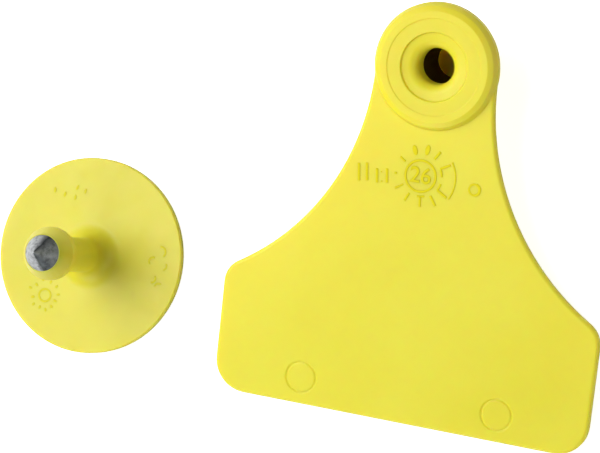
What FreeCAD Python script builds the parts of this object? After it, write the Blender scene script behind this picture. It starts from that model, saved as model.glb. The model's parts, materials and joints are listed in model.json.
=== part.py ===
import FreeCAD, Part
import math
import os

# Two-piece livestock ear tag, lying apart on a surface, in millimetres.
# Origin: the stud's axis where the button's back face lies. +Z up along the stem.

# Stud: disc, stem and arrowhead collar in one moulding
disc_radius = 14.0
disc_thickness = 1.2
disc_top_chamfer = 0.12
disc_back_chamfer = 0.12
stem_radius = 2.45
stem_root_round = 2.5
stem_length = 13.7
collar_radius = 3.7
collar_land = 1.1
collar_shoulder_round = 0.3
cone_length = 2.2
point_rim = 0.1

# Stud: metal point, its shank held in the stem
point_radius = 2.5
point_length = 3.0
point_nose_radius = 0.1
point_seat_depth = 0.5
shank_radius = 1.1
shank_length = 8.0
groove_depth = 0.3
groove_width = 1.5

# Tag: flat panel
panel_width = 54.2
panel_reach = 49.85
panel_thickness = 1.3
panel_edge_round = 0.5
panel_back_chamfer = 0.3
foot_corner_radius = 4.5
shoulder_radius = 3.6
neck_width = 17.2
neck_arc_radius = 35.0
neck_arc_drop = 1.4
witness_radius = 2.15
witness_width = 0.45
witness_depth = 0.15
witness_spacing = 28.4
witness_inset = 3.85

# Tag: boss on the front face, with a rim, a seat and a funnel round the hole
boss_radius = 8.7
boss_height = 1.25
boss_wall_height = 0.85
boss_wall_draft = 0.45
boss_chamfer_width = 0.7
seat_radius = 6.55
seat_drop = 0.08
funnel_radius = 4.75
funnel_step = 0.3
funnel_step_draft = 0.15
funnel_slope = 6.0
funnel_round = 1.3
swivel_clearance = 0.05

# Tag: closed cap behind the panel, round the chamber that locks the collar
chamber_clearance = 0.3
head_end_clearance = 0.4
neck_below_panel = 1.1
chamber_straight = 3.0
chamber_end_radius = 2.4
cap_wall = 1.2
cap_end_wall = 0.8
cap_draft = 0.45
cap_root_chamfer = 0.8
cap_end_chamfer = 0.6

# Where the tag lies: its hole's place in plan, and its turn about the vertical
tag_x = 54.68
tag_y = 23.64
tag_turn = -11.6

# Sizes that follow from those above
collar_base = disc_thickness + stem_length
point_base = collar_base + collar_land + cone_length
head_length = collar_land + cone_length + point_length
hole_radius = stem_radius + swivel_clearance
chamber_radius = collar_radius + chamber_clearance
chamber_floor = neck_below_panel + head_length + head_end_clearance
chamber_taper_top = neck_below_panel + chamber_straight
cap_depth = chamber_floor + cap_end_wall
cap_side_radius = chamber_radius + cap_wall
cap_end_radius = chamber_end_radius + cap_wall

origin = FreeCAD.Vector(0, 0, 0)
x_axis = FreeCAD.Vector(1, 0, 0)
z_axis = FreeCAD.Vector(0, 0, 1)


def section(corners):
    # Closed half section in the XZ plane from (radius, height, rounding) corners.
    points = [FreeCAD.Vector(r, 0, z) for r, z, rounding in corners]
    ends = []
    for i, (r, z, rounding) in enumerate(corners):
        corner = points[i]
        back = (points[i - 1] - corner).normalize()
        ahead = (points[(i + 1) % len(points)] - corner).normalize()
        half_angle = back.getAngle(ahead) / 2
        reach = rounding / math.tan(half_angle)
        inward = (back + ahead).normalize() if rounding else z_axis
        depth = rounding / math.sin(half_angle) - rounding
        ends.append((corner + back * reach, corner + inward * depth, corner + ahead * reach))
    edges = []
    for i, (start, middle, finish) in enumerate(ends):
        if corners[i][2]:
            edges.append(Part.Arc(start, middle, finish).toShape())
        edges.append(Part.LineSegment(finish, ends[(i + 1) % len(ends)][0]).toShape())
    return Part.Face(Part.Wire(edges))


def turned(corners):
    return section(corners).revolve(origin, z_axis, 360)


def stud_point():
    # Cone on a shouldered shank, with a groove that locks the moulding on the metal.
    seat = point_base - point_seat_depth
    shank_end = seat - shank_length
    groove_middle = (seat + shank_end) / 2
    groove_radius = shank_radius - groove_depth
    return turned([
        (0, shank_end, 0),
        (shank_radius, shank_end, 0),
        (shank_radius, groove_middle - groove_width / 2, 0),
        (groove_radius, groove_middle - groove_width / 2, 0),
        (groove_radius, groove_middle + groove_width / 2, 0),
        (shank_radius, groove_middle + groove_width / 2, 0),
        (shank_radius, seat, 0),
        (point_radius, seat, 0),
        (point_radius, point_base, 0),
        (point_nose_radius, point_base + point_length, 0),
        (0, point_base + point_length, 0),
    ])


def stud_button(point):
    # Disc, flared stem, collar and cone, moulded round the metal point.
    moulding = turned([
        (0, 0, 0),
        (disc_radius - disc_back_chamfer, 0, 0),
        (disc_radius, disc_back_chamfer, 0),
        (disc_radius, disc_thickness - disc_top_chamfer, 0),
        (disc_radius - disc_top_chamfer, disc_thickness, 0),
        (stem_radius, disc_thickness, stem_root_round),
        (stem_radius, collar_base, 0),
        (collar_radius, collar_base, 0),
        (collar_radius, collar_base + collar_land, collar_shoulder_round),
        (point_radius + point_rim, point_base, 0),
        (0, point_base, 0),
    ])
    return moulding.cut(point)


def panel_outline():
    # Half outline from the crown under the boss to the foot, mirrored about the long axis.
    side = panel_width / 2
    crown_radius = neck_width / 2
    reach = crown_radius + neck_arc_radius
    neck_centre = FreeCAD.Vector(math.sqrt(reach ** 2 - neck_arc_drop ** 2), -neck_arc_drop, 0)
    neck_top = neck_centre * (crown_radius / reach)
    shoulder_x = side - shoulder_radius
    across = neck_centre.x - shoulder_x
    down = math.sqrt((neck_arc_radius + shoulder_radius) ** 2 - across ** 2)
    shoulder_centre = FreeCAD.Vector(shoulder_x, neck_centre.y - down, 0)
    to_neck = (neck_centre - shoulder_centre).normalize()
    neck_foot = shoulder_centre + to_neck * shoulder_radius
    neck_middle = neck_centre + ((neck_top + neck_foot) * 0.5 - neck_centre).normalize() * neck_arc_radius
    shoulder_side = shoulder_centre + x_axis * shoulder_radius
    toward_corner = (to_neck + x_axis).normalize()
    shoulder_middle = shoulder_centre + toward_corner * shoulder_radius
    corner_centre = FreeCAD.Vector(side - foot_corner_radius, foot_corner_radius - panel_reach, 0)
    corner_side = corner_centre + x_axis * foot_corner_radius
    corner_foot = corner_centre - FreeCAD.Vector(0, foot_corner_radius, 0)
    diagonal = FreeCAD.Vector(1, -1, 0).normalize()
    half = [
        Part.Arc(neck_top, neck_middle, neck_foot).toShape(),
        Part.Arc(neck_foot, shoulder_middle, shoulder_side).toShape(),
        Part.LineSegment(shoulder_side, corner_side).toShape(),
        Part.Arc(corner_side, corner_centre + diagonal * foot_corner_radius, corner_foot).toShape(),
    ]
    mirrored = [edge.mirror(origin, x_axis) for edge in half]
    crown = Part.Arc(neck_top, FreeCAD.Vector(0, crown_radius, 0), mirror_x(neck_top)).toShape()
    foot = Part.LineSegment(corner_foot, mirror_x(corner_foot)).toShape()
    return Part.Wire(Part.__sortEdges__([crown, foot] + half + mirrored))


def mirror_x(point):
    return FreeCAD.Vector(-point.x, point.y, point.z)


def witness_ring():
    # Tool for a round V groove, whose sides pass the front face at its full width.
    return turned([
        (witness_radius - witness_width, panel_thickness + witness_depth, 0),
        (witness_radius, panel_thickness - witness_depth, 0),
        (witness_radius + witness_width, panel_thickness + witness_depth, 0),
    ])


def tag_plate():
    # Flat sheet with softened rims, open where the boss's own section fills it.
    plate = Part.Face(panel_outline()).extrude(z_axis * panel_thickness)
    front_rim = [edge for edge in plate.Edges if edge.BoundBox.ZMin > panel_thickness / 2]
    plate = plate.makeFillet(panel_edge_round, front_rim)
    back_rim = [edge for edge in plate.Edges if edge.BoundBox.ZMax < panel_back_chamfer / 2]
    plate = plate.makeChamfer(panel_back_chamfer, back_rim)
    plate = plate.cut(Part.makeCylinder(seat_radius, panel_thickness))
    for x in (-witness_spacing / 2, witness_spacing / 2):
        ring = witness_ring()
        ring.translate(FreeCAD.Vector(x, witness_inset - panel_reach, 0))
        plate = plate.cut(ring)
    return plate


def tag_boss():
    # Rim, seat, funnel, neck, locking chamber and closed cap as one turned section.
    rim_top = panel_thickness + boss_height
    wall_radius = boss_radius - boss_wall_draft
    seat_top = rim_top - seat_drop
    funnel_top = seat_top - funnel_step
    funnel_edge = funnel_radius - funnel_step_draft
    funnel_fall = (funnel_edge - hole_radius) * math.tan(math.radians(funnel_slope))
    cap_root_radius = cap_side_radius + cap_draft
    return turned([
        (0, -cap_depth, 0),
        (cap_end_radius - cap_end_chamfer, -cap_depth, 0),
        (cap_end_radius, cap_end_chamfer - cap_depth, 0),
        (cap_side_radius, -chamber_taper_top, 0),
        (cap_root_radius, -cap_root_chamfer, 0),
        (cap_root_radius + cap_root_chamfer, 0, 0),
        (boss_radius - panel_back_chamfer, 0, 0),
        (boss_radius, panel_back_chamfer, 0),
        (boss_radius, panel_thickness, 0),
        (wall_radius, panel_thickness + boss_wall_height, 0),
        (wall_radius - boss_chamfer_width, rim_top, 0),
        (seat_radius + seat_drop, rim_top, 0),
        (seat_radius, seat_top, 0),
        (funnel_radius, seat_top, 0),
        (funnel_edge, funnel_top, 0),
        (hole_radius, funnel_top - funnel_fall, funnel_round),
        (hole_radius, -neck_below_panel, 0),
        (chamber_radius, -neck_below_panel, 0),
        (chamber_radius, -chamber_taper_top, 0),
        (chamber_end_radius, -chamber_floor, 0),
        (0, -chamber_floor, 0),
    ])


def rest_on_foot_and_cap(tag):
    # The tag lies on the foot's back edge and the near edge of the cap's end.
    foot_reach = panel_reach - panel_back_chamfer
    cap_reach = cap_end_radius - cap_end_chamfer
    pitch = math.atan2(cap_depth, foot_reach - cap_reach)
    lift = foot_reach * math.sin(pitch)
    tag.rotate(origin, x_axis, math.degrees(pitch))
    tag.rotate(origin, z_axis, tag_turn)
    tag.translate(FreeCAD.Vector(tag_x, tag_y, lift))
    return tag


def tag_panel():
    tag = tag_plate().fuse(tag_boss()).removeSplitter()
    return rest_on_foot_and_cap(tag)


os.makedirs("parts", exist_ok=True)
metal_point = stud_point()
nodes = {
    "stud_tip": metal_point,
    "stud_button": stud_button(metal_point),
    "tag_panel": tag_panel(),
}
for name, shape in nodes.items():
    box = shape.BoundBox
    print(name, shape.ShapeType, len(shape.Solids), shape.isValid(), round(shape.Volume, 2),
          [round(v, 2) for v in (box.XMin, box.YMin, box.ZMin, box.XMax, box.YMax, box.ZMax)])
    shape.exportStep("parts/" + name + ".step")
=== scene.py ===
import json
import math
import bmesh
import bpy
from mathutils import Matrix, Vector


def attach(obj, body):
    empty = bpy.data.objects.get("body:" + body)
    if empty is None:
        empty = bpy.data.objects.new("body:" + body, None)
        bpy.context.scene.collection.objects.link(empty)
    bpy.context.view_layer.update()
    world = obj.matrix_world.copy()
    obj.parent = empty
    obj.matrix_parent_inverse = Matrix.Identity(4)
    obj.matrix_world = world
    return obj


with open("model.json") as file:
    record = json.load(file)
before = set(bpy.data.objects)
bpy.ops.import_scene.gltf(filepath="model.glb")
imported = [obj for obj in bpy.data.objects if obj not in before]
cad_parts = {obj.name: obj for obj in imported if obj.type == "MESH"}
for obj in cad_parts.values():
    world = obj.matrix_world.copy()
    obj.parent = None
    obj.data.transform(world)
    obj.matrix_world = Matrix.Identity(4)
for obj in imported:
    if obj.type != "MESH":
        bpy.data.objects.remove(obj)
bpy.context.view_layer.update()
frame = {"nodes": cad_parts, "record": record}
nodes = frame["nodes"]
mm = 0.001
zAxis = Vector((0, 0, 1))

# camera: looks down on both halves from the panel's side
cameraSettings = {
    "place": Vector((153.9, -12.0, 372.7)) * mm,
    "aim": Vector((31.7, 3.0, 0.8)) * mm,
    "up": Vector((0.036, 0.999, 0.028)),
    "lens": 168.0,
}


def makeCamera(settings):
    look = (settings["aim"] - settings["place"]).normalized()
    right = look.cross(settings["up"]).normalized()
    up = right.cross(look)
    turn = Matrix((right, up, -look)).transposed()
    data = bpy.data.cameras.new("camera")
    data.lens = settings["lens"]
    camera = bpy.data.objects.new("camera", data)
    camera.matrix_world = Matrix.Translation(settings["place"]) @ turn.to_4x4()
    bpy.context.scene.collection.objects.link(camera)
    bpy.context.scene.camera = camera


makeCamera(cameraSettings)
print("camera made")


def newMaterial(name):
    # a material with one shader, and each point's place in the object's own axes
    material = bpy.data.materials.new(name)
    material.use_nodes = True
    tree = material.node_tree
    tree.nodes.clear()
    shader = tree.nodes.new("ShaderNodeBsdfPrincipled")
    output = tree.nodes.new("ShaderNodeOutputMaterial")
    tree.links.new(shader.outputs["BSDF"], output.inputs["Surface"])
    place = tree.nodes.new("ShaderNodeTexCoord").outputs["Object"]
    return material, tree, shader, place


def noise(tree, place, scale, detail, roughness):
    node = tree.nodes.new("ShaderNodeTexNoise")
    node.inputs["Scale"].default_value = scale
    node.inputs["Detail"].default_value = detail
    node.inputs["Roughness"].default_value = roughness
    tree.links.new(place, node.inputs["Vector"])
    return node.outputs["Fac"]


def ramp(tree, factor, stops, blend="LINEAR"):
    node = tree.nodes.new("ShaderNodeValToRGB")
    node.color_ramp.interpolation = blend
    elements = node.color_ramp.elements
    while len(elements) < len(stops):
        elements.new(0.5)
    for element, (position, colour) in zip(elements, stops):
        element.position = position
        element.color = (*colour, 1.0)
    tree.links.new(factor, node.inputs["Fac"])
    return node.outputs["Color"]


def mapRange(tree, factor, low, high, newLow, newHigh):
    node = tree.nodes.new("ShaderNodeMapRange")
    for socket, value in zip(node.inputs[1:5], (low, high, newLow, newHigh)):
        socket.default_value = value
    tree.links.new(factor, node.inputs["Value"])
    return node.outputs["Result"]


def calc(tree, operation, first, second):
    node = tree.nodes.new("ShaderNodeMath")
    node.operation = operation
    for socket, value in zip(node.inputs, (first, second)):
        if isinstance(value, bpy.types.NodeSocket):
            tree.links.new(value, socket)
        else:
            socket.default_value = value
    return node.outputs["Value"]


def vectorCalc(tree, operation, first, second, output="Vector"):
    node = tree.nodes.new("ShaderNodeVectorMath")
    node.operation = operation
    for socket, value in zip(node.inputs, (first, second)):
        if isinstance(value, bpy.types.NodeSocket):
            tree.links.new(value, socket)
        else:
            socket.default_value = value
    return node.outputs[output]


def bump(tree, height, strength, distance, normal=None):
    node = tree.nodes.new("ShaderNodeBump")
    node.inputs["Strength"].default_value = strength
    node.inputs["Distance"].default_value = distance
    tree.links.new(height, node.inputs["Height"])
    if normal is not None:
        tree.links.new(normal, node.inputs["Normal"])
    return node.outputs["Normal"]


# the tag's own frame: the middle of the hole on the panel's front face
tagHole = next(mount for mount in frame["record"]["mounts"] if mount["name"] == "tag_hole")
tagNormal = Vector(tagHole["axis"]).normalized()
tagAcross = zAxis.cross(tagNormal).normalized()
tagUp = tagNormal.cross(tagAcross)
panelThickness = 1.3  # as in the solids, in millimetres
neckBelowPanel = 1.1
faceAboveHole = panelThickness + neckBelowPanel - tagHole["dims"]["length_mm"] / 2
tagFace = Matrix((tagAcross, tagUp, tagNormal)).transposed().to_4x4()
tagFace.translation = Vector(tagHole["pos_m"]) + tagNormal * faceAboveHole * mm


# yellow moulded plastic: satin, faintly translucent, with flow clouding
plasticSettings = {
    "pale": (0.79, 0.72, 0.050),
    "deep": (0.77, 0.69, 0.036),
    # the four noises: scale, detail, roughness
    "cloud": (55.0, 4.0, 0.55),
    "grain": (3200.0, 2.0, 0.5),
    "wave": (260.0, 2.0, 0.5),
    "patch": (420.0, 3.0, 0.5),
    "cloudSpread": (0.35, 0.68),
    "patchSpread": (0.3, 0.7),
    "grainStrength": 0.35,
    "grainDepth": 0.000004,
    "waveStrength": 0.25,
    "waveDepth": 0.00002,
    "roughness": (0.36, 0.46),
    "ior": 1.5,
    "gloss": 0.36,
    "subsurface": 0.6,
    "subsurfaceReach": (1.0, 0.55, 0.05),
    "subsurfaceScale": 0.0022,
    "edgeSoftness": 0.00018,
    "edgeSamples": 4,
}
# the stud's plastic is a darker copy of the tag's: painted shade, as the disc's face takes more of the lamps'
# light than the tilted panel
studShadedPlasticSettings = {
    **plasticSettings,
    "pale": (0.685, 0.625, 0.040),
    "deep": (0.670, 0.605, 0.030),
}
# the mould marks are the tag's plastic painted a deeper, duller gold, as painted shade on the low ridges, and
# are too thin to let light through
markShadedPlasticSettings = {
    **plasticSettings,
    "pale": (0.76, 0.665, 0.0),
    "deep": (0.72, 0.615, 0.0),
    "roughness": (0.55, 0.70),
    "gloss": 0.22,
    "subsurface": 0.0,
}
# the disc's marks carry the same painted shade, on the stud's darker plastic
discMarkShadedPlasticSettings = {
    **markShadedPlasticSettings,
    "pale": (0.685, 0.617, 0.018),
    "deep": (0.660, 0.590, 0.008),
}
# the locking chamber, with painted shade on its walls and painted light on its floor: radii, and
# depths below the panel's front face, in millimetres
chamberSettings = {
    "radius": 4.6,
    "endRadius": 3.0,
    "top": 2.35,
    "taperTop": 5.4,
    "floor": 9.05,
    "bottom": 9.5,
    "wallPaintedShade": (0.14, 0.08, 0.06),
    "floorPaintedLight": (1.25, 1.12, 0.5),
}


# paints shade on the chamber's walls and light on its floor
def paintChamberShadeAndLight(tree, place, colour, settings):
    # how deep a point lies below the front face, and how far from the hole's axis
    offset = vectorCalc(tree, "SUBTRACT", place, tagFace.translation)
    depth = vectorCalc(tree, "DOT_PRODUCT", offset, -tagNormal, "Value")
    reach = vectorCalc(tree, "LENGTH", offset, (0, 0, 0), "Value")
    squares = [calc(tree, "POWER", length, 2.0) for length in (reach, depth)]
    radial = calc(tree, "SQRT", calc(tree, "SUBTRACT", *squares), 0.0)
    # the limit runs down the middle of the cap's tapered wall, so the outside keeps its colour
    limit = mapRange(tree, depth, settings["taperTop"] * mm, settings["floor"] * mm,
                     settings["radius"] * mm, settings["endRadius"] * mm)
    within = calc(tree, "LESS_THAN", radial, limit)
    below = calc(tree, "GREATER_THAN", depth, settings["top"] * mm)
    above = calc(tree, "LESS_THAN", depth, settings["bottom"] * mm)
    inside = calc(tree, "MULTIPLY", within, calc(tree, "MULTIPLY", below, above))
    onFloor = calc(tree, "GREATER_THAN", depth, settings["floor"] * mm)
    # the colour is kept outside the chamber, darkened by painted shade on the wall and lightened by painted
    # light on the floor
    zone = calc(tree, "MULTIPLY", inside, calc(tree, "ADD", onFloor, 1.0))
    paintedTones = [(0.25, (1.0, 1.0, 1.0)), (0.50, settings["wallPaintedShade"]), (0.75, settings["floorPaintedLight"])]
    tint = ramp(tree, calc(tree, "MULTIPLY", zone, 0.5), paintedTones, "CONSTANT")
    return vectorCalc(tree, "MULTIPLY", colour, tint)


def plasticMaterial(name, settings, chamber=None):
    material, tree, shader, place = newMaterial(name)
    cloud = noise(tree, place, *settings["cloud"])
    tint = ramp(tree, cloud, list(zip(settings["cloudSpread"], (settings["deep"], settings["pale"]))))
    if chamber:
        tint = paintChamberShadeAndLight(tree, place, tint, chamber)
    tree.links.new(tint, shader.inputs["Base Color"])
    grain = noise(tree, place, *settings["grain"])
    patch = noise(tree, place, *settings["patch"])
    rough = mapRange(tree, patch, *settings["patchSpread"], *settings["roughness"])
    tree.links.new(rough, shader.inputs["Roughness"])
    soft = tree.nodes.new("ShaderNodeBevel")
    soft.samples = settings["edgeSamples"]
    soft.inputs["Radius"].default_value = settings["edgeSoftness"]
    wave = noise(tree, place, *settings["wave"])
    normal = bump(tree, wave, settings["waveStrength"], settings["waveDepth"], soft.outputs["Normal"])
    normal = bump(tree, grain, settings["grainStrength"], settings["grainDepth"], normal)
    tree.links.new(normal, shader.inputs["Normal"])
    shader.inputs["Subsurface Weight"].default_value = settings["subsurface"]
    shader.inputs["Subsurface Radius"].default_value = settings["subsurfaceReach"]
    shader.inputs["Subsurface Scale"].default_value = settings["subsurfaceScale"]
    shader.inputs["IOR"].default_value = settings["ior"]
    shader.inputs["Specular IOR Level"].default_value = settings["gloss"]
    return material


# the tag's plastic carries the chamber's painted shade and painted light
tagPlastic = plasticMaterial("tagPlastic", plasticSettings, chamberSettings)
studShadedPlastic = plasticMaterial("studShadedPlastic", studShadedPlasticSettings)
markShadedPlastic = plasticMaterial("markShadedPlastic", markShadedPlasticSettings)
discMarkShadedPlastic = plasticMaterial("discMarkShadedPlastic", discMarkShadedPlasticSettings)

# grey die-cast point, mottled, with painted light on one flank, painted shade on the other and painted dark
# lines between them
pointSettings = {
    "mottleTones": [(0.30, (0.30, 0.30, 0.30)), (0.50, (0.75, 0.75, 0.75)), (0.70, (1.0, 1.0, 1.0))],
    # turn about the stud's axis, as a share of a full turn from -X, and the tone there: painted light on one
    # flank, painted shade on the other, and painted dark lines between them
    "paintedFlankShading": [(0.00, (0.60, 0.62, 0.64)), (0.22, (0.56, 0.58, 0.60)), (0.262, (0.08, 0.09, 0.09)),
               (0.32, (0.15, 0.17, 0.18)), (0.45, (0.33, 0.35, 0.35)), (0.56, (0.36, 0.38, 0.38)),
               (0.63, (0.16, 0.17, 0.17)), (0.668, (0.030, 0.035, 0.035)), (0.70, (0.28, 0.29, 0.30)),
               (0.76, (0.57, 0.59, 0.60)), (1.00, (0.60, 0.62, 0.64))],
    # the three noises: scale, detail, roughness
    "mottle": (1300.0, 6.0, 0.62),
    "pits": (2600.0, 4.0, 0.6),
    "wander": (900.0, 3.0, 0.5),
    "wanderReach": 0.03,
    "mottleSpread": (0.3, 0.7),
    "bumpStrength": 0.4,
    "mottleDepth": 0.00005,
    "pitDepth": 0.00002,
    "roughness": (0.60, 0.36),  # where the mottle is dark, and where it is light
    "metallic": 0.7,
}


def castMetalMaterial(name, settings):
    material, tree, shader, place = newMaterial(name)
    parts = tree.nodes.new("ShaderNodeSeparateXYZ")
    tree.links.new(place, parts.inputs[0])
    turn = calc(tree, "ARCTAN2", parts.outputs["Y"], parts.outputs["X"])
    turn = mapRange(tree, turn, -math.pi, math.pi, 0.0, 1.0)
    reach = settings["wanderReach"]
    wander = mapRange(tree, noise(tree, place, *settings["wander"]), 0.0, 1.0, -reach, reach)
    # painted light and shade by turn about the axis, its edges wandering a little
    paintedShadingRamp = ramp(tree, calc(tree, "ADD", turn, wander), settings["paintedFlankShading"])
    mottle = noise(tree, place, *settings["mottle"])
    tone = vectorCalc(tree, "MULTIPLY", paintedShadingRamp, ramp(tree, mottle, settings["mottleTones"]))
    tree.links.new(tone, shader.inputs["Base Color"])
    rough = mapRange(tree, mottle, *settings["mottleSpread"], *settings["roughness"])
    tree.links.new(rough, shader.inputs["Roughness"])
    pits = noise(tree, place, *settings["pits"])
    normal = bump(tree, mottle, settings["bumpStrength"], settings["mottleDepth"])
    normal = bump(tree, pits, settings["bumpStrength"], settings["pitDepth"], normal)
    tree.links.new(normal, shader.inputs["Normal"])
    shader.inputs["Metallic"].default_value = settings["metallic"]
    return material


castPoint = castMetalMaterial("castPoint", pointSettings)


def dress(node, material):
    mesh = nodes[node].data
    mesh.materials.clear()
    mesh.materials.append(material)


dress("tag_panel", tagPlastic)
dress("stud_button", studShadedPlastic)
dress("stud_tip", castPoint)
print("CAD nodes dressed")

# raised mould marks, drawn flat in millimetres and then laid on the face
raisedSettings = {
    "sink": 0.05,        # how far a mark's foot goes into the face
    "ringStep": 7.5,     # degrees between the sections of a ring
    "ringLeast": 8,      # sections of the shortest arc
    "strokeTop": 0.45,   # width of a stroke's top, as a share of its foot
    "lensTop": 0.68,     # the same for a lens
    "lensSides": 20,
    "letterBevel": 0.3,  # bevel of a letter's edge, as a share of its height
}


def wayTo(angle):
    return Vector((math.cos(math.radians(angle)), math.sin(math.radians(angle))))


def raisedRing(bm, centre, radius, width, height, start=0.0, sweep=360.0):
    # a low ridge with sloping sides, spun about the vertical through the centre
    foot = -raisedSettings["sink"]
    section = [(radius - width / 2, foot), (radius - width / 4, height),
               (radius + width / 4, height), (radius + width / 2, foot)]
    centre = Vector((*centre, 0))
    turn = Matrix.Rotation(math.radians(start), 3, "Z")
    verts = [bm.verts.new(centre + turn @ Vector((r, 0, z))) for r, z in section]
    edges = [bm.edges.new((verts[i - 1], verts[i])) for i in range(4)]
    full = sweep >= 360.0
    if not full:
        bm.faces.new(verts)
    steps = max(raisedSettings["ringLeast"], int(sweep / raisedSettings["ringStep"]))
    spun = bmesh.ops.spin(bm, geom=verts + edges, cent=centre, axis=zAxis, dvec=(0, 0, 0),
                          angle=math.radians(sweep), steps=steps, use_merge=full,
                          use_duplicate=False, use_normal_flip=False)
    if not full:
        last = [item for item in spun["geom_last"] if isinstance(item, bmesh.types.BMVert)]
        bmesh.ops.contextual_create(bm, geom=last)


def setBetween(bm, verts, start, end, height):
    # turns a shape made along X, and moves it to the middle between two points on the face
    along, middle = end - start, (start + end) / 2
    turn = Matrix.Rotation(math.atan2(along.y, along.x), 3, "Z")
    bmesh.ops.rotate(bm, cent=(0, 0, 0), matrix=turn, verts=verts)
    bmesh.ops.translate(bm, vec=(middle.x, middle.y, (height - raisedSettings["sink"]) / 2), verts=verts)


def raisedStroke(bm, start, end, width, height):
    # a straight ridge between two points on the face
    start, end = Vector(start), Vector(end)
    length = (end - start).length
    made = bmesh.ops.create_cube(bm, size=1.0)["verts"]
    bmesh.ops.scale(bm, vec=(length, width, height + raisedSettings["sink"]), verts=made)
    top = [v for v in made if v.co.z > 0]
    bmesh.ops.scale(bm, vec=((length - width / 2) / length, raisedSettings["strokeTop"], 1), verts=top)
    setBetween(bm, made, start, end, height)


def raisedLens(bm, start, end, width, height):
    # an oval pad with sloping sides between two points on the face
    start, end = Vector(start), Vector(end)
    made = bmesh.ops.create_cone(bm, cap_ends=True, segments=raisedSettings["lensSides"], radius1=0.5,
                                 radius2=raisedSettings["lensTop"] / 2,
                                 depth=height + raisedSettings["sink"])["verts"]
    bmesh.ops.scale(bm, vec=((end - start).length, width, 1), verts=made)
    setBetween(bm, made, start, end, height)


def addNumber(bm, text, centre, size, weight, height):
    curve = bpy.data.curves.new("number", "FONT")
    curve.body = text
    curve.size = size
    curve.align_x = "CENTER"
    curve.align_y = "CENTER"
    curve.offset = weight
    curve.extrude = height
    curve.bevel_depth = height * raisedSettings["letterBevel"]
    letters = bpy.data.objects.new("number", curve)
    mesh = bpy.data.meshes.new_from_object(letters)
    mesh.transform(Matrix.Translation((*centre, 0)))
    bm.from_mesh(mesh)
    bpy.data.meshes.remove(mesh)
    bpy.data.objects.remove(letters)
    bpy.data.curves.remove(curve)


def layOn(bm, name, place, material):
    bmesh.ops.recalc_face_normals(bm, faces=bm.faces)
    bmesh.ops.transform(bm, matrix=place @ Matrix.Scale(mm, 4), verts=bm.verts)
    mesh = bpy.data.meshes.new(name)
    bm.to_mesh(mesh)
    bm.free()
    mesh.materials.append(material)
    piece = bpy.data.objects.new(name, mesh)
    bpy.context.scene.collection.objects.link(piece)
    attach(piece, "root")


tagMarkSettings = {
    "height": 0.05,
    "stroke": 0.46,
    "barStroke": 0.529,
    "dotStroke": 0.322,
    "dotLength": 0.30,
    "dotHeight": 0.03,
    "dialCentre": (-0.37, -15.1),
    "dialRing": 2.15,
    "number": "26",
    "numberSize": 3.1,
    "numberWeight": 0.04,
    # marks round the dial: angle, inner radius, outer radius, width
    "dialMarks": [(28, 2.9, 4.6, 0.46), (57, 3.0, 4.5, 0.52), (145, 2.8, 3.9, 0.42), (182, 3.3, 3.8, 0.42),
                  (213, 2.7, 4.1, 0.38), (243, 2.8, 4.2, 0.46), (275, 2.65, 4.3, 0.50), (304, 2.9, 4.6, 0.52),
                  (329, 2.95, 4.7, 0.52)],
    # rounder marks over the dial: angle, inner radius, outer radius, width
    "dialLenses": [(81, 2.85, 4.6, 0.85), (109, 2.75, 4.45, 0.85)],
    # arcs beside the dial: radius, start angle, sweep, width
    "dialArcs": [(4.95, -31.0, 62.0, 0.32), (3.0, -32.0, 20.0, 0.42), (3.0, 6.0, 20.0, 0.42),
                 (2.8, 266.0, 22.0, 0.40)],
    # bars left of the dial: middle and length
    "bars": [((-9.13, -15.9), 2.6), ((-7.99, -15.7), 2.6), ((-6.51, -16.0), 2.1), ((-5.1, -15.8), 2.1)],
    "barLean": 6.5,
    "dots": [(-5.95, -15.4), (-5.75, -16.7)],
    "loopCentre": (7.35, -15.75),
    "loopRadius": 0.75,
    # the loop's two arcs: width, height, start angle, sweep
    "loopArcs": [(0.46, 0.02, 75.0, 210.0), (0.552, 0.05, -75.0, 150.0)],
}


def makeTagMarks(settings):
    bm = bmesh.new()
    middle, height = Vector(settings["dialCentre"]), settings["height"]
    raisedRing(bm, middle, settings["dialRing"], settings["stroke"], height)
    for radius, start, sweep, width in settings["dialArcs"]:
        raisedRing(bm, middle, radius, width, height, start, sweep)
    for angle, inner, outer, width in settings["dialMarks"]:
        raisedStroke(bm, middle + wayTo(angle) * inner, middle + wayTo(angle) * outer, width, height)
    for angle, inner, outer, width in settings["dialLenses"]:
        raisedLens(bm, middle + wayTo(angle) * inner, middle + wayTo(angle) * outer, width, height)
    addNumber(bm, settings["number"], middle, settings["numberSize"], settings["numberWeight"], height)
    for centre, length in settings["bars"]:
        half = wayTo(settings["barLean"] - 90.0) * length / 2
        raisedStroke(bm, Vector(centre) - half, Vector(centre) + half, settings["barStroke"], height)
    for dot in settings["dots"]:
        half = Vector((settings["dotLength"] / 2, 0))
        raisedStroke(bm, Vector(dot) - half, Vector(dot) + half, settings["dotStroke"], settings["dotHeight"])
    for width, arcHeight, start, sweep in settings["loopArcs"]:
        raisedRing(bm, settings["loopCentre"], settings["loopRadius"], width, arcHeight, start, sweep)
    layOn(bm, "tagMarks", tagFace, markShadedPlastic)


makeTagMarks(tagMarkSettings)

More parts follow.
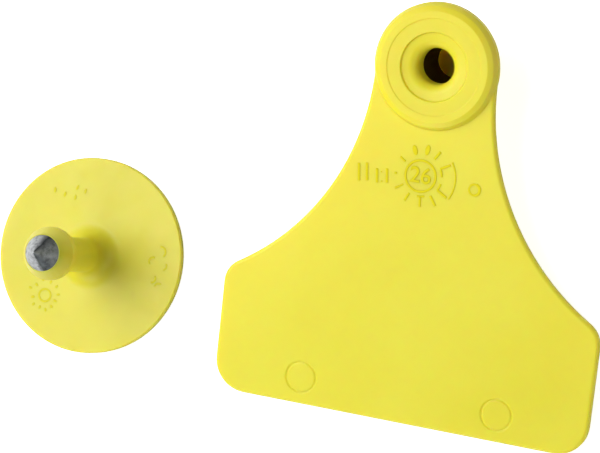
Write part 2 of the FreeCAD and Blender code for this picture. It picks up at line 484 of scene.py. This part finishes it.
discTop = 1.2 * mm  # the disc's thickness in the solids
discMarkSettings = {
    "height": 0.014,
    "hookHeight": 0.007,
    "dashHeight": 0.0084,
    "stroke": 0.50,
    "dialCentre": (-7.1, -5.5),
    "dialRing": 0.90,
    "dotLength": 0.76,
    # dots round the small dial: angle and radius
    "dots": [(0, 2.1), (32, 2.2), (62, 2.1), (95, 2.3), (128, 2.0), (152, 2.5), (186, 1.9), (214, 2.2),
             (243, 1.9), (271, 2.1), (300, 1.9), (331, 1.8)],
    # short curved marks near the right rim: centre, radius, start angle, sweep
    "hooks": [((10.9, 0.1), 0.75, -60.0, 150.0), ((9.7, -1.2), 0.6, 60.0, 150.0),
              ((11.2, -1.9), 0.55, -90.0, 120.0), ((9.4, -3.6), 0.6, -100.0, 130.0),
              ((10.4, -4.9), 0.55, 40.0, 120.0)],
    # faint short strokes on the far side: middle and lean
    "dashes": [((-5.1, 9.6), 80), ((-3.6, 8.9), 65), ((-2.0, 8.4), 75), ((-1.6, 9.8), 60), ((-0.4, 9.2), 70)],
    "dashLength": 1.1,
}


def makeDiscMarks(settings):
    bm = bmesh.new()
    middle, stroke = Vector(settings["dialCentre"]), settings["stroke"]
    raisedRing(bm, middle, settings["dialRing"], stroke, settings["height"])
    for angle, radius in settings["dots"]:
        dot, half = middle + wayTo(angle) * radius, wayTo(angle) * settings["dotLength"] / 2
        raisedLens(bm, dot - half, dot + half, stroke, settings["height"])
    for centre, radius, start, sweep in settings["hooks"]:
        raisedRing(bm, centre, radius, stroke, settings["hookHeight"], start, sweep)
    for centre, lean in settings["dashes"]:
        half = wayTo(lean) * settings["dashLength"] / 2
        raisedLens(bm, Vector(centre) - half, Vector(centre) + half, stroke, settings["dashHeight"])
    layOn(bm, "discMarks", Matrix.Translation((0, 0, discTop)), discMarkShadedPlastic)


makeDiscMarks(discMarkSettings)
print("mould marks made")

# floor, world and lamps, in metres
stageSettings = {
    "floorReach": 3.0,
    "floorColour": (0.90, 0.90, 0.90),
    "floorLift": 0.80,  # added for the camera only, so the floor looks white and keeps the shadow
    "ambient": 0.02,
    "aim": Vector((0.03, 0.0, 0.0)),
    "lampDistance": 0.45,
    "lampSize": 0.28,
}
# the lamps' tilt from overhead and turn from +X in degrees, and how bright they make a white face
lampSettings = {
    "keyLamp": {"tilt": 26.0, "turn": 150.0, "level": 0.745},
    "keyLeftLamp": {"tilt": 26.0, "turn": 210.0, "level": 0.135},
    "sideUpperLamp": {"tilt": 50.0, "turn": 135.0, "level": 0.185},
    "sideLeftLamp": {"tilt": 50.0, "turn": 180.0, "level": 0.100},
    "sideRightLamp": {"tilt": 50.0, "turn": 357.0, "level": 0.140},
    "lowUpperLamp": {"tilt": 73.0, "turn": 161.0, "level": 0.140},
    "lowLeftLamp": {"tilt": 73.0, "turn": 248.0, "level": 0.315},
    "lowRightLamp": {"tilt": 73.0, "turn": 320.0, "level": 0.120},
}


def makeFloor(settings):
    bm = bmesh.new()
    bmesh.ops.create_grid(bm, x_segments=1, y_segments=1, size=settings["floorReach"])
    mesh = bpy.data.meshes.new("floor")
    bm.to_mesh(mesh)
    bm.free()
    material = bpy.data.materials.new("paleFloor")
    material.use_nodes = True
    tree = material.node_tree
    tree.nodes.clear()
    diffuse = tree.nodes.new("ShaderNodeBsdfDiffuse")
    diffuse.inputs["Color"].default_value = (*settings["floorColour"], 1.0)
    glow = tree.nodes.new("ShaderNodeEmission")
    path = tree.nodes.new("ShaderNodeLightPath")
    lift = calc(tree, "MULTIPLY", path.outputs["Is Camera Ray"], settings["floorLift"])
    tree.links.new(lift, glow.inputs["Strength"])
    both = tree.nodes.new("ShaderNodeAddShader")
    tree.links.new(diffuse.outputs[0], both.inputs[0])
    tree.links.new(glow.outputs[0], both.inputs[1])
    output = tree.nodes.new("ShaderNodeOutputMaterial")
    tree.links.new(both.outputs[0], output.inputs["Surface"])
    mesh.materials.append(material)
    floor = bpy.data.objects.new("floor", mesh)
    bpy.context.scene.collection.objects.link(floor)


def makeWorld(settings):
    world = bpy.data.worlds.new("softBox")
    bpy.context.scene.world = world
    world.use_nodes = True
    tree = world.node_tree
    tree.nodes.clear()
    path = tree.nodes.new("ShaderNodeLightPath")
    strength = mapRange(tree, path.outputs["Is Camera Ray"], 0.0, 1.0, settings["ambient"], 1.0)
    background = tree.nodes.new("ShaderNodeBackground")
    background.inputs["Color"].default_value = (1.0, 1.0, 1.0, 1.0)
    tree.links.new(strength, background.inputs["Strength"])
    output = tree.nodes.new("ShaderNodeOutputWorld")
    tree.links.new(background.outputs[0], output.inputs["Surface"])


def makeLamp(name, settings, stage):
    # the power that gives a white face turned to the lamp about its level of brightness
    distance = stage["lampDistance"]
    data = bpy.data.lights.new(name, "AREA")
    data.shape = "SQUARE"
    data.size = stage["lampSize"]
    data.energy = settings["level"] * math.pi ** 2 * distance ** 2
    tilt = math.radians(settings["tilt"])
    way = Vector((*wayTo(settings["turn"]) * math.sin(tilt), math.cos(tilt)))
    lamp = bpy.data.objects.new(name, data)
    aimed = (-way).to_track_quat("-Z", "Y").to_matrix().to_4x4()
    lamp.matrix_world = Matrix.Translation(stage["aim"] + way * distance) @ aimed
    bpy.context.scene.collection.objects.link(lamp)


makeFloor(stageSettings)
makeWorld(stageSettings)
for lampName, lampValues in lampSettings.items():
    makeLamp(lampName, lampValues, stageSettings)
bpy.context.scene.view_settings.view_transform = "Standard"
print("stage lit")
